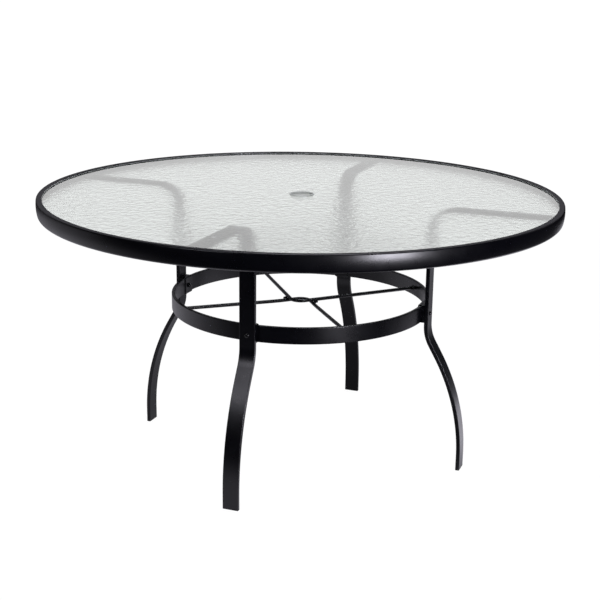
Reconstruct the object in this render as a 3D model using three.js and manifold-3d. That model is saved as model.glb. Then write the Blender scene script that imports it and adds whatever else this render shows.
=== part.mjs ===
// Round glass-topped umbrella table with four bent flat-tube legs.
// Millimetres, +Z up, origin on the floor under the middle of the top.

import * as THREE from 'three';
import { mergeVertices } from 'three/addons/utils/BufferGeometryUtils.js';
import Module from 'manifold-3d';

const wasm = await Module();
wasm.setup();

// Whole table
const TOP_DIAMETER = 1371.6;
const TABLE_HEIGHT = 711.2;

// Fits: the gap between faces that touch, the play of a screw in its hole, the overrun of a cut
const FIT_GAP = 0.3;
const HOLE_PLAY = 0.4;
const CUT_OVERRUN = 2;

// Rim: a rolled aluminium extrusion with a lip over the glass and a shelf under it
const RIM_HEIGHT = 43.3;
const RIM_WALL = 2.6;
const RIM_LEAN = 3.6;
const RIM_CROWN = 0.5;
const RIM_TOP_RADIUS = 2.2;
const RIM_BOTTOM_RADIUS = 7;
const RIM_FLANGE_FLAT = 4;
const LIP_WIDTH = 17.8;
const LIP_THICKNESS = 2.6;
const LIP_EDGE = 0.8;
const SHELF_SETBACK = 2;
const SHELF_THICKNESS = 2.5;

// Glass, its gasket and the grommet in the umbrella hole
const GLASS_THICKNESS = 4.8;
const GLASS_PLAY = 0.8;
const GASKET_WALL = 1;
const GASKET_SHOWING = 2;
const GROMMET_BORE = 55;
const GROMMET_WALL = 2.7;
const GROMMET_LIP = 3;
const GROMMET_LIP_THICKNESS = 1.5;
const GROMMET_RIDGE = 1.2;
const GROMMET_RIDGE_HEIGHT = 3;
const GROMMET_TAIL = 6;
const BUMPER_DIAMETER = 12;
const BUMPER_THICKNESS = 1;

// Legs: one flat tube bent into arm, post, knee and calf
const LEG_WIDTH = 41.6;
const LEG_THICKNESS = 10.6;
const LEG_WALL = 2;
const LEG_EDGE_RADIUS = 2.5;
const ARM_SETBACK = 1;
const ARM_BEND_RADIUS = 68;
const POST_RADIUS = 358;
const KNEE_RADIUS = 100;
const KNEE_SLOPE = 35.3;
const CALF_RADIUS = 540;
const FOOT_RADIUS = 461.4;
const FOOT_STRAIGHT = 40;
const GLIDE_SOLE = 3;
const GLIDE_PLUG = 18;

// Stretcher ring with its saddles, spacers, bolts and cap nuts
const RING_STANDOFF = 6.6;
const RING_THICKNESS = 8.7;
const RING_HEIGHT = 42.9;
const RING_ABOVE_KNEE = 32;
const RING_WALL = 1.8;
const RING_EDGE = 1.8;
const SADDLE_WIDTH = 41;
const SADDLE_PLATE = 2.5;
const SADDLE_BEND = 3;
const SADDLE_CORNER = 5;
const SPACER_WALL = 4.4;
const BOLT_DIAMETER = 6.35;
const BOLT_DROP = 1.5;
const BOLT_HEAD = 11.8;
const BOLT_HEAD_HEIGHT = 3.3;
const BOLT_HEAD_EDGE = 0.8;
const BOLT_SOCKET = 4;
const BOLT_SOCKET_DEPTH = 2;
const NUT_ACROSS_FLATS = 11.1;
const NUT_HEX_HEIGHT = 5;
const NUT_SHOULDER = 0.4;
const NUT_DOME = 4;
const NUT_BORE_DEPTH = 6.5;
const NUT_TIP_PLAY = 1;

// Rod cross that guides the umbrella pole
const ROD_DIAMETER = 9.5;
const EYE_RADIUS = 28;
const ROD_FLAT_REACH = 32;
const ROD_DROP = 0.8;
const ROD_TURN = THREE.MathUtils.degToRad(-3.4);

// Brackets that join the arms to the rim, and their screws
const BRACKET_PLATE = 3;
const SCREW_INSET = 12;
const SCREW_SPACING = 21;
const SCREW_DIAMETER = 5;
const SCREW_HEAD = 9.5;
const SCREW_HEAD_HEIGHT = 2.6;
const SCREW_HEAD_EDGE = 0.8;
const SCREW_SOCKET = 3;
const SCREW_SOCKET_DEPTH = 1.4;
const SCREW_TIP_DEPTH = 0.7;

// Facets: with this many sides the large rings have a flat in the middle of each leg.
// BEND_SAG is how far a bend's straight steps may stray from its true arc.
const LARGE_SIDES = 68;
const GROMMET_SIDES = 32;
const SMALL_SIDES = 12;
const ROD_SIDES = 10;
const HEX_SIDES = 6;
const DOME_STEPS = 3;
const BEND_SAG = 0.5;
const FLAT_SHARE = Math.cos(Math.PI / LARGE_SIDES);

// Leg corners by name and azimuth
const QUARTER = Math.PI / 2;
const CORNERS = [
  ['front_left', -1.5 * QUARTER],
  ['front_right', -0.5 * QUARTER],
  ['rear_right', 0.5 * QUARTER],
  ['rear_left', 1.5 * QUARTER],
];

// Radius of the rim's outer face at a height: between its corners it leans in and is slightly crowned
const rimRadius = TOP_DIAMETER / 2;
const rimBottom = TABLE_HEIGHT - RIM_HEIGHT;
const rimUpperCorner = TABLE_HEIGHT - RIM_TOP_RADIUS;
const rimLowerCorner = rimBottom + RIM_BOTTOM_RADIUS;

function rimFace(height) {
  const fall = (rimUpperCorner - height) / (rimUpperCorner - rimLowerCorner);
  return rimRadius - RIM_LEAN * fall + RIM_CROWN * 4 * fall * (1 - fall);
}

const rimInnerWall = (height) => rimFace(height) - RIM_WALL;

// Heights and radii of the top, from the rim's lip down
const lipRadius = rimRadius - LIP_WIDTH;
const lipUnderside = TABLE_HEIGHT - LIP_THICKNESS;
const glassTopHeight = lipUnderside - FIT_GAP - GASKET_WALL - FIT_GAP;
const glassUnderside = glassTopHeight - GLASS_THICKNESS;
const gasketUnderside = glassUnderside - FIT_GAP - GASKET_WALL;
const shelfTop = gasketUnderside - FIT_GAP;
const shelfUnderside = shelfTop - SHELF_THICKNESS;
const shelfRadius = lipRadius + SHELF_SETBACK;
const pocketRadius = rimInnerWall(shelfTop);
const gasketOuter = pocketRadius - GLASS_PLAY;
const glassRadius = gasketOuter - GASKET_WALL - FIT_GAP;
const grommetOuter = GROMMET_BORE / 2 + GROMMET_WALL;

// The leg's arm, post and foot. The knee turns by the angle that brings the foot to its radius:
// spread = turn * (1 - cos(angle)) + KNEE_SLOPE * sin(angle)
const armTop = glassUnderside - FIT_GAP - BUMPER_THICKNESS - FIT_GAP;
const armMiddle = armTop - LEG_THICKNESS / 2;
const armUnderside = armTop - LEG_THICKNESS;
const armEnd = lipRadius - ARM_SETBACK;
const armStart = POST_RADIUS + ARM_BEND_RADIUS;
const postInnerFace = POST_RADIUS - LEG_THICKNESS / 2;
const postOuterFace = POST_RADIUS + LEG_THICKNESS / 2;
const footHeight = GLIDE_SOLE + FIT_GAP;
const spread = FOOT_RADIUS - POST_RADIUS;
const turn = KNEE_RADIUS + CALF_RADIUS;
const kneeAngle = Math.acos((turn - spread) / Math.hypot(turn, KNEE_SLOPE)) - Math.atan2(KNEE_SLOPE, turn);
const kneeHeight = FOOT_STRAIGHT + turn * Math.sin(kneeAngle) + KNEE_SLOPE * Math.cos(kneeAngle);

// The ring stands inside the posts, just above the knees
const ringOuterRadius = postInnerFace - RING_STANDOFF;
const ringInnerRadius = ringOuterRadius - RING_THICKNESS;
const ringMiddle = kneeHeight + RING_ABOVE_KNEE;
const ringTop = ringMiddle + RING_HEIGHT / 2;
const ringBottom = ringMiddle - RING_HEIGHT / 2;
const boltHeight = ringMiddle - BOLT_DROP;
const saddleInside = ringInnerRadius - FIT_GAP;
const saddleBack = saddleInside - SADDLE_PLATE;
const nutSeat = saddleBack * FLAT_SHARE - FIT_GAP;
const boltHole = BOLT_DIAMETER / 2 + HOLE_PLAY;
const screwHole = SCREW_DIAMETER / 2 + HOLE_PLAY;
const tongueBottom = armUnderside + LEG_WALL + FIT_GAP;
const tongueTop = Math.min(shelfUnderside, armTop - LEG_WALL) - FIT_GAP;
const tongueWidth = LEG_WIDTH - 2 * (LEG_WALL + FIT_GAP);
const screwPlaces = [armEnd - SCREW_INSET, armEnd - SCREW_INSET - SCREW_SPACING];

// Materials
const finish = (color, roughness, metalness, opacity = 1) =>
  new THREE.MeshStandardMaterial({ color, roughness, metalness, opacity, transparent: opacity < 1 });
const powderCoat = finish(0x141416, 0.42, 0.1);
const blackSteel = finish(0x101012, 0.35, 0.6);
const texturedGlass = finish(0xe0e5e2, 0.15, 0, 0.45);
const clearVinyl = finish(0xd6d9d8, 0.3, 0, 0.7);
const blackNylon = finish(0x121212, 0.6, 0);

// A mesh with its name and finish
function mesh(name, geometry, material) {
  const piece = new THREE.Mesh(geometry, material);
  piece.name = name;
  return piece;
}

// Closed mesh to solid and back
function solidOf(geometry) {
  const bare = geometry.clone();
  bare.deleteAttribute('normal');
  bare.deleteAttribute('uv');
  const merged = mergeVertices(bare);
  const vertProperties = new Float32Array(merged.attributes.position.array);
  const triVerts = new Uint32Array(merged.index.array);
  return new wasm.Manifold(new wasm.Mesh({ numProp: 3, vertProperties, triVerts }));
}

function geometryOf(solid) {
  const { vertProperties, triVerts } = solid.getMesh();
  const geometry = new THREE.BufferGeometry();
  geometry.setAttribute('position', new THREE.BufferAttribute(vertProperties, 3));
  geometry.setIndex(new THREE.BufferAttribute(triVerts, 1));
  geometry.computeVertexNormals();
  return geometry;
}

function cut(geometry, tools) {
  return geometryOf(tools.reduce((solid, tool) => solid.subtract(solidOf(tool)), solidOf(geometry)));
}

// Points along an arc, both ends included
function arc(x, y, radius, from, to, steps) {
  return Array.from({ length: steps + 1 }, (_, i) => {
    const angle = from + (to - from) * i / steps;
    return new THREE.Vector2(x + radius * Math.cos(angle), y + radius * Math.sin(angle));
  });
}

const point = (x, y) => new THREE.Vector2(x, y);

// A profile of radius and height turned about Z
function turned(profile, sides) {
  return new THREE.LatheGeometry(profile, sides).rotateX(QUARTER);
}

// The same for an outline that closes on itself, as a ring has
function turnedRing(outline, sides) {
  return turned([...outline, outline[0].clone()], sides);
}

// A large ring as a leg sees it, with a flat across the X axis
function turnedForCorner(outline) {
  return turnedRing(outline, LARGE_SIDES).rotateZ(Math.PI / LARGE_SIDES);
}

const alongX = (geometry) => geometry.rotateY(QUARTER);

function roundBar(radius, length, sides) {
  return turned([point(0, 0), point(radius, 0), point(radius, length), point(0, length)], sides);
}

// A hole along X or Z, which starts and ends at the given places
const drillX = (radius, from, to, height) =>
  alongX(roundBar(radius, to - from, SMALL_SIDES)).translate(from, 0, height);
const drillZ = (radius, from, to, x) =>
  roundBar(radius, to - from, SMALL_SIDES).translate(x, 0, from);

// A rectangle about the origin with rounded or plain corners
function bar(width, height, radius, steps = 2) {
  const [x, y] = [width / 2 - radius, height / 2 - radius];
  if (radius === 0) return [point(x, y), point(-x, y), point(-x, -y), point(x, -y)];
  return [
    ...arc(x, y, radius, 0, QUARTER, steps),
    ...arc(-x, y, radius, QUARTER, 2 * QUARTER, steps),
    ...arc(-x, -y, radius, 2 * QUARTER, 3 * QUARTER, steps),
    ...arc(x, -y, radius, 3 * QUARTER, 4 * QUARTER, steps),
  ];
}

// An outline of radius and height, given its width across the leg
function plateAcross(outline, width) {
  const plate = new THREE.ExtrudeGeometry(new THREE.Shape(outline), { depth: width, bevelEnabled: false });
  return plate.rotateX(QUARTER).translate(0, width / 2, 0);
}

// An outline in plan, raised upwards from z = 0
function raised(outline, height) {
  return new THREE.ExtrudeGeometry(new THREE.Shape(outline), { depth: height, bevelEnabled: false });
}

// Steps that an arc is cut into, so that none strays from it by more than BEND_SAG
function bendSteps(arcCurve) {
  const angle = Math.abs(arcCurve.aEndAngle - arcCurve.aStartAngle);
  return Math.ceil(angle / (2 * Math.acos(1 - BEND_SAG / arcCurve.xRadius)));
}

// A flat path of lines and arcs laid into space: one step for a line, several for an arc
class StationPath extends THREE.Curve {
  constructor(flatPath, place) {
    super();
    this.place = place;
    this.stations = [];
    for (const curve of flatPath.curves) {
      const steps = curve.isLineCurve ? 1 : bendSteps(curve);
      for (let i = 0; i < steps; i += 1) this.stations.push([curve, i / steps, 1 / steps]);
    }
  }

  get steps() {
    return this.stations.length;
  }

  getPoint(t) {
    const at = Math.min(Math.max(t, 0), 1) * this.steps;
    const index = Math.min(Math.floor(at), this.steps - 1);
    const [curve, start, share] = this.stations[index];
    return this.place(curve.getPoint(start + (at - index) * share));
  }

  getPointAt(u) {
    return this.getPoint(u);
  }

  getTangentAt(u, target) {
    return this.getTangent(u, target);
  }
}

function swept(outline, path, holes = []) {
  const section = new THREE.Shape(outline);
  section.holes = holes.map((hole) => new THREE.Path(hole));
  return new THREE.ExtrudeGeometry(section, { steps: path.steps, extrudePath: path });
}

// Radius of a hexagon's corners from its size across flats
const hexCorner = (acrossFlats) => acrossFlats / 2 / Math.cos(Math.PI / HEX_SIDES);

// The profile of a dome from its rim to its crown
function dome(radius, height, rise) {
  const profile = arc(0, 0, 1, 0, QUARTER, DOME_STEPS);
  return profile.map(({ x, y }, i) => point(i < DOME_STEPS ? radius * x : 0, height + rise * y));
}

// A button head on a shank: the head stands on z = 0 and the shank hangs below it
function buttonScrew(size) {
  const { shank, length, head, height, edge, socket, depth } = size;
  const body = turned([
    point(0, -length), point(shank / 2, -length), point(shank / 2, 0), point(head / 2, 0),
    ...dome(head / 2, edge, height - edge),
  ], SMALL_SIDES);
  const key = roundBar(hexCorner(socket), depth + CUT_OVERRUN, HEX_SIDES);
  return cut(body, [key.translate(0, 0, height - depth)]);
}

// Rim

function rimFrame() {
  const corner = rimFace(rimLowerCorner) - RIM_BOTTOM_RADIUS;
  const insideCorner = Math.max(RIM_BOTTOM_RADIUS - RIM_WALL, 0);
  const middleHeight = (rimUpperCorner + rimLowerCorner) / 2;
  return turnedRing([
    point(lipRadius, lipUnderside),
    point(pocketRadius, lipUnderside),
    point(pocketRadius, shelfTop),
    point(shelfRadius, shelfTop),
    point(shelfRadius, shelfUnderside),
    point(rimInnerWall(shelfUnderside), shelfUnderside),
    ...arc(corner, rimLowerCorner, insideCorner, 0, -QUARTER, 1),
    point(corner - RIM_FLANGE_FLAT, rimBottom + RIM_WALL),
    point(corner - RIM_FLANGE_FLAT, rimBottom),
    ...arc(corner, rimLowerCorner, RIM_BOTTOM_RADIUS, -QUARTER, 0, 3),
    point(rimFace(middleHeight), middleHeight),
    ...arc(rimRadius - RIM_TOP_RADIUS, rimUpperCorner, RIM_TOP_RADIUS, 0, QUARTER, 2),
    point(lipRadius + LIP_EDGE, TABLE_HEIGHT),
    point(lipRadius, TABLE_HEIGHT - LIP_EDGE),
  ], LARGE_SIDES);
}

// Top

function glassTop() {
  const disc = roundBar(glassRadius, GLASS_THICKNESS, LARGE_SIDES);
  const holeRadius = (grommetOuter + FIT_GAP) / Math.cos(Math.PI / GROMMET_SIDES);
  const hole = roundBar(holeRadius, GLASS_THICKNESS + 2 * CUT_OVERRUN, GROMMET_SIDES);
  return cut(disc, [hole.translate(0, 0, -CUT_OVERRUN)]).translate(0, 0, glassUnderside);
}

function glazingGasket() {
  const flapTop = glassTopHeight + FIT_GAP + GASKET_WALL;
  const slotOuter = glassRadius + FIT_GAP;
  return turnedRing([
    point(lipRadius - GASKET_SHOWING, flapTop - GASKET_WALL),
    point(slotOuter, flapTop - GASKET_WALL),
    point(slotOuter, gasketUnderside + GASKET_WALL),
    point(shelfRadius, gasketUnderside + GASKET_WALL),
    point(shelfRadius, gasketUnderside),
    point(gasketOuter, gasketUnderside),
    point(gasketOuter, flapTop),
    point(lipRadius - GASKET_SHOWING, flapTop),
  ], LARGE_SIDES);
}

// The grommet's lip lies on the glass, and a ridge below the glass keeps it in
function umbrellaHoleGrommet() {
  const bore = GROMMET_BORE / 2;
  const lip = grommetOuter + GROMMET_LIP;
  const seat = glassTopHeight + FIT_GAP;
  const top = seat + GROMMET_LIP_THICKNESS;
  const ridgeTop = glassUnderside - FIT_GAP;
  const ridgeBottom = ridgeTop - GROMMET_RIDGE_HEIGHT;
  return turnedRing([
    point(bore, ridgeBottom - GROMMET_TAIL),
    point(grommetOuter, ridgeBottom - GROMMET_TAIL),
    point(grommetOuter, ridgeBottom),
    point(grommetOuter + GROMMET_RIDGE, ridgeTop),
    point(grommetOuter, ridgeTop),
    point(grommetOuter, seat),
    point(lip, seat),
    point(lip - GROMMET_LIP_THICKNESS / 2, top),
    point(bore, top),
  ], GROMMET_SIDES);
}

// The pad between the middle of an arm and the glass
function glassBumper() {
  const middle = (armStart + armEnd) / 2;
  return roundBar(BUMPER_DIAMETER / 2, BUMPER_THICKNESS, SMALL_SIDES)
    .translate(middle, 0, armTop + FIT_GAP);
}

// Legs, modelled with the leg's radius along X

// The middle line of a leg from the end of its arm to its foot, in radius and height
function legPath() {
  const path = new THREE.Path();
  const bendHeight = armMiddle - ARM_BEND_RADIUS;
  const calfTop = kneeAngle + Math.PI;
  path.moveTo(armEnd, armMiddle);
  path.lineTo(armStart, armMiddle);
  path.absarc(armStart, bendHeight, ARM_BEND_RADIUS, QUARTER, 2 * QUARTER, false);
  path.lineTo(POST_RADIUS, kneeHeight);
  path.absarc(POST_RADIUS + KNEE_RADIUS, kneeHeight, KNEE_RADIUS, Math.PI, calfTop, false);
  const { x, y } = path.currentPoint;
  path.lineTo(x + KNEE_SLOPE * Math.sin(kneeAngle), y - KNEE_SLOPE * Math.cos(kneeAngle));
  path.absarc(FOOT_RADIUS - CALF_RADIUS, FOOT_STRAIGHT, CALF_RADIUS, kneeAngle, 0, true);
  path.lineTo(FOOT_RADIUS, footHeight);
  return new StationPath(path, (place) => new THREE.Vector3(place.x, 0, place.y));
}

function leg() {
  const section = bar(LEG_THICKNESS, LEG_WIDTH, LEG_EDGE_RADIUS);
  const hollow = bar(LEG_THICKNESS - 2 * LEG_WALL, LEG_WIDTH - 2 * LEG_WALL, 0);
  const boltDrill = drillX(boltHole, postInnerFace - CUT_OVERRUN, postOuterFace + CUT_OVERRUN, boltHeight);
  const screwDrills = screwPlaces.map((place) =>
    drillZ(screwHole, armUnderside - CUT_OVERRUN, armUnderside + LEG_WALL + CUT_OVERRUN, place));
  return cut(swept(section, legPath(), [hollow]), [boltDrill, ...screwDrills]);
}

// The glide's sole takes the floor and its plug fills the tube above
function footGlide() {
  const plug = LEG_WALL + FIT_GAP;
  const sole = raised(bar(LEG_THICKNESS, LEG_WIDTH, LEG_EDGE_RADIUS), GLIDE_SOLE);
  const stem = raised(bar(LEG_THICKNESS - 2 * plug, LEG_WIDTH - 2 * plug, 0), GLIDE_SOLE + GLIDE_PLUG);
  return geometryOf(solidOf(sole).add(solidOf(stem))).translate(FOOT_RADIUS, 0, 0);
}

// Stretcher ring and what holds it to the legs

function stretcherRing() {
  const middle = ringOuterRadius - RING_THICKNESS / 2;
  const centred = (outline) => outline.map(({ x, y }) => point(middle + x, ringMiddle + y));
  const outside = turnedRing(centred(bar(RING_THICKNESS, RING_HEIGHT, RING_EDGE, 1)), LARGE_SIDES);
  const hollow = bar(RING_THICKNESS - 2 * RING_WALL, RING_HEIGHT - 2 * RING_WALL, 0);
  const from = ringInnerRadius - CUT_OVERRUN;
  const to = ringOuterRadius + CUT_OVERRUN;
  const drills = CORNERS.map(([, azimuth]) => drillX(boltHole, from, to, boltHeight).rotateZ(azimuth));
  return cut(outside, [turnedRing(centred(hollow), LARGE_SIDES), ...drills]);
}

// A plate bent over the ring's top, back and bottom, with its ends on the leg
function ringSaddle() {
  const reach = postInnerFace + CUT_OVERRUN;
  const [top, bottom] = [ringTop + FIT_GAP, ringBottom - FIT_GAP];
  const bend = saddleBack + SADDLE_BEND;
  const channel = turnedForCorner([
    point(saddleInside, bottom),
    point(saddleInside, top),
    point(reach, top),
    point(reach, top + SADDLE_PLATE),
    ...arc(bend, top + SADDLE_PLATE - SADDLE_BEND, SADDLE_BEND, QUARTER, 2 * QUARTER, 2),
    ...arc(bend, bottom - SADDLE_PLATE + SADDLE_BEND, SADDLE_BEND, 2 * QUARTER, 3 * QUARTER, 2),
    point(reach, bottom - SADDLE_PLATE),
    point(reach, bottom),
  ]);
  const from = saddleBack * FLAT_SHARE - CUT_OVERRUN;
  const to = postInnerFace - FIT_GAP;
  const height = top - bottom + 2 * SADDLE_PLATE;
  const blank = alongX(raised(bar(height, SADDLE_WIDTH, SADDLE_CORNER), to - from))
    .translate(from, 0, ringMiddle);
  const shaped = solidOf(channel).intersect(solidOf(blank));
  return geometryOf(shaped.subtract(solidOf(drillX(boltHole, from, to, boltHeight))));
}

function ringSpacer() {
  const from = ringOuterRadius * FLAT_SHARE + FIT_GAP;
  const to = postInnerFace - FIT_GAP;
  const outer = boltHole + SPACER_WALL;
  const outline = [
    point(boltHole, 0), point(outer, 0), point(outer, to - from), point(boltHole, to - from),
  ];
  return alongX(turnedRing(outline, SMALL_SIDES)).translate(from, 0, boltHeight);
}

function legBolt() {
  const seat = postOuterFace + FIT_GAP;
  const bolt = buttonScrew({
    shank: BOLT_DIAMETER, length: seat - nutSeat + NUT_BORE_DEPTH - NUT_TIP_PLAY,
    head: BOLT_HEAD, height: BOLT_HEAD_HEIGHT, edge: BOLT_HEAD_EDGE,
    socket: BOLT_SOCKET, depth: BOLT_SOCKET_DEPTH,
  });
  return alongX(bolt).translate(seat, 0, boltHeight);
}

// A hexagon with a dome on it and a blind bore, standing on the saddle's back
function capNut() {
  const hexagon = roundBar(hexCorner(NUT_ACROSS_FLATS), NUT_HEX_HEIGHT, HEX_SIDES);
  const domeRadius = NUT_ACROSS_FLATS / 2 - NUT_SHOULDER;
  const profile = [point(0, 0), point(domeRadius, 0), ...dome(domeRadius, NUT_HEX_HEIGHT, NUT_DOME)];
  const cap = turned(profile, SMALL_SIDES);
  const bore = roundBar(boltHole, NUT_BORE_DEPTH + CUT_OVERRUN, SMALL_SIDES).translate(0, 0, -CUT_OVERRUN);
  const nut = solidOf(hexagon).add(solidOf(cap)).subtract(solidOf(bore));
  return alongX(geometryOf(nut)).rotateZ(Math.PI).translate(nutSeat, 0, boltHeight);
}

// Rod cross

// A rod runs straight from the ring past the pole, round it, and back to the ring a quarter turn on.
// It is drawn with its bow across -X. Its arms may fall to a lower height near the pole.
function rod(endHeight, poleHeight) {
  const skew = ROD_DIAMETER / 2 * EYE_RADIUS / ringInnerRadius;
  const end = ringInnerRadius * FLAT_SHARE - FIT_GAP - skew;
  const flat = EYE_RADIUS + ROD_FLAT_REACH;
  const bowStart = QUARTER / 2 + Math.acos(EYE_RADIUS / end);
  const onArm = (distance, side) => {
    const azimuth = side * (bowStart - Math.acos(EYE_RADIUS / distance));
    return [distance * Math.cos(azimuth), distance * Math.sin(azimuth)];
  };
  const path = new THREE.Path();
  path.moveTo(...onArm(end, 1));
  path.lineTo(...onArm(flat, 1));
  path.lineTo(...onArm(EYE_RADIUS, 1));
  path.absarc(0, 0, EYE_RADIUS, bowStart, 4 * QUARTER - bowStart, false);
  path.lineTo(...onArm(flat, -1));
  path.lineTo(...onArm(end, -1));
  const place = ({ x, y }) => {
    const climb = Math.max(Math.hypot(x, y) - flat, 0) / (end - flat);
    return new THREE.Vector3(x, y, poleHeight + (endHeight - poleHeight) * climb);
  };
  const section = arc(0, 0, ROD_DIAMETER / 2, 0, 4 * QUARTER, ROD_SIDES).slice(1);
  return swept(section, new StationPath(path, place));
}

// Arm brackets

// A plate against the rim's inner wall with a tongue that enters the arm's open end
function rimBracket() {
  const wall = (height) => rimInnerWall(height) * FLAT_SHARE - FIT_GAP;
  const plateBottom = rimLowerCorner;
  const tongueEnd = Math.min(...screwPlaces) - SCREW_INSET;
  const blank = plateAcross([
    point(tongueEnd, tongueBottom),
    point(wall(tongueBottom) - BRACKET_PLATE, tongueBottom),
    point(wall(plateBottom) - BRACKET_PLATE, plateBottom),
    point(wall(plateBottom), plateBottom),
    point(wall(tongueTop), tongueTop),
    point(tongueEnd, tongueTop),
  ], tongueWidth);
  return cut(blank, screwPlaces.map((place) =>
    drillZ(screwHole, tongueBottom - CUT_OVERRUN, tongueTop + CUT_OVERRUN, place)));
}

function bracketScrew(place) {
  const seat = armUnderside - FIT_GAP;
  const screw = buttonScrew({
    shank: SCREW_DIAMETER, length: tongueTop - SCREW_TIP_DEPTH - seat,
    head: SCREW_HEAD, height: SCREW_HEAD_HEIGHT, edge: SCREW_HEAD_EDGE,
    socket: SCREW_SOCKET, depth: SCREW_SOCKET_DEPTH,
  });
  return screw.rotateX(2 * QUARTER).translate(place, 0, seat);
}

// Assembly

const table = new THREE.Group();
table.add(
  mesh('rim_frame', rimFrame(), powderCoat),
  mesh('glass_top', glassTop(), texturedGlass),
  mesh('glazing_gasket', glazingGasket(), clearVinyl),
  mesh('umbrella_hole_grommet', umbrellaHoleGrommet(), clearVinyl),
  mesh('stretcher_ring', stretcherRing(), powderCoat),
);

// The rods lie across each other with their bows on opposite sides of the pole
const rodHeight = ringMiddle - ROD_DROP;
const lowerRodHeight = rodHeight - ROD_DIAMETER - FIT_GAP;
const upperRod = mesh('pole_rod_upper', rod(rodHeight, rodHeight), powderCoat);
const lowerRod = mesh('pole_rod_lower', rod(rodHeight, lowerRodHeight), powderCoat);
upperRod.rotation.z = ROD_TURN + QUARTER / 2;
lowerRod.rotation.z = ROD_TURN + QUARTER / 2 + 2 * QUARTER;
table.add(upperRod, lowerRod);

// Each leg corner holds one of each of these
const [outerScrew, innerScrew] = screwPlaces;
const cornerPieces = [
  ['leg', leg(), powderCoat],
  ['foot_glide', footGlide(), blackNylon],
  ['glass_bumper', glassBumper(), clearVinyl],
  ['ring_saddle', ringSaddle(), powderCoat],
  ['ring_spacer', ringSpacer(), powderCoat],
  ['leg_bolt', legBolt(), blackSteel],
  ['cap_nut', capNut(), blackSteel],
  ['rim_bracket', rimBracket(), powderCoat],
  ['bracket_screw_outer', bracketScrew(outerScrew), blackSteel],
  ['bracket_screw_inner', bracketScrew(innerScrew), blackSteel],
];

for (const [corner, azimuth] of CORNERS) {
  const quarter = new THREE.Group();
  quarter.rotation.z = azimuth;
  for (const [name, geometry, material] of cornerPieces) {
    quarter.add(mesh(`${name}_${corner}`, geometry, material));
  }
  table.add(quarter);
}

export default table;
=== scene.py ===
"""Round umbrella table: rippled glass in a black powder-coated rim on four bent flat-tube legs.

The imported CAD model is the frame. Every visible metal, glass and vinyl part is a finer surface that
stands where its CAD node is. Lengths are millimetres in the code and metres in the meshes.
"""

import math

import bmesh
import bpy
import numpy as np
from mathutils import Matrix, Vector


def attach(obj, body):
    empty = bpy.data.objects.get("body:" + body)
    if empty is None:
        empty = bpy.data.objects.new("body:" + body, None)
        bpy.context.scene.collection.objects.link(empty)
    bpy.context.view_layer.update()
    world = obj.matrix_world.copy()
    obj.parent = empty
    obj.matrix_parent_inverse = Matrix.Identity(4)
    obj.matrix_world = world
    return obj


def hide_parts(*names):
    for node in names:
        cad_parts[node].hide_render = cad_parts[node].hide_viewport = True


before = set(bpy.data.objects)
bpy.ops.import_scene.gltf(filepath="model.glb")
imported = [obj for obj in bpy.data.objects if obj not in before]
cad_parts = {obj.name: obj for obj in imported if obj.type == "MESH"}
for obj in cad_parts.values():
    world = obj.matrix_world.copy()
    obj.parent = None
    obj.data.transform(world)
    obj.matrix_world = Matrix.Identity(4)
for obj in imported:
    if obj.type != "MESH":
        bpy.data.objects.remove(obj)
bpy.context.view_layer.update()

MM = 0.001
QUARTER = math.pi / 2
CORNERS = {
    "front_left": -3 * math.pi / 4,
    "front_right": -math.pi / 4,
    "rear_right": math.pi / 4,
    "rear_left": 3 * math.pi / 4,
}

# Sizes of the table, as the CAD source has them. Only the rim's lip is 2 mm narrower here and the
# edges of the legs' tube are less rounded.

TABLE_TOP = 711.2
RIM_RADIUS = 685.8
RIM_HEIGHT = 43.3
LIP_RADIUS = 670.2
LIP_UNDERSIDE = 708.6
POCKET_RADIUS = 682.7
SHELF_TOP = 700.6
SHELF_UNDERSIDE = 698.1
SHELF_RADIUS = 670.0
GLASS_TOP = 707.0
GLASS_UNDERSIDE = 702.2
GLASS_RADIUS = 680.6
GASKET_OUTER = 681.9
GROMMET_OUTER = 30.2
GROMMET_BORE = 27.5

LEG_WIDTH = 41.6
LEG_THICKNESS = 10.6
LEG_WALL = 2.0
LEG_EDGE = 1.5
ARM_END = 667.0
ARM_START = 426.0
ARM_MIDDLE = 695.3
ARM_BEND = 68.0
POST_RADIUS = 358.0
KNEE_RADIUS = 100.0
KNEE_ANGLE = math.radians(30.0)
KNEE_HEIGHT = 390.6
CALF_RADIUS = 540.0
FOOT_RADIUS = 461.4
FOOT_STRAIGHT = 40.0
SOLE = 3.0

RING_INSIDE = 337.4
RING_OUTSIDE = 346.1
RING_BOTTOM = 401.12
RING_TOP = 444.02
RING_MIDDLE = (RING_BOTTOM + RING_TOP) / 2
BOLT_HEIGHT = RING_MIDDLE - 1.5
ROD_RADIUS = 4.75
EYE_RADIUS = 28.0
ROD_TURN = math.radians(-3.4)
ROD_HEIGHT = RING_MIDDLE - 0.8
LOWER_ROD_HEIGHT = ROD_HEIGHT - 9.8

SADDLE_BACK = 334.6
NUT_SEAT = 334.4
SPACER_START = 346.0
POST_FACE = 352.35
BOLT_SEAT = 363.5
OUTER_SCREW = 655.0
INNER_SCREW = 634.0
SCREW_SEAT = 689.8
BUMPER_RADIUS = 546.5
BUMPER_SEAT = 700.9


# Meshes


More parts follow.
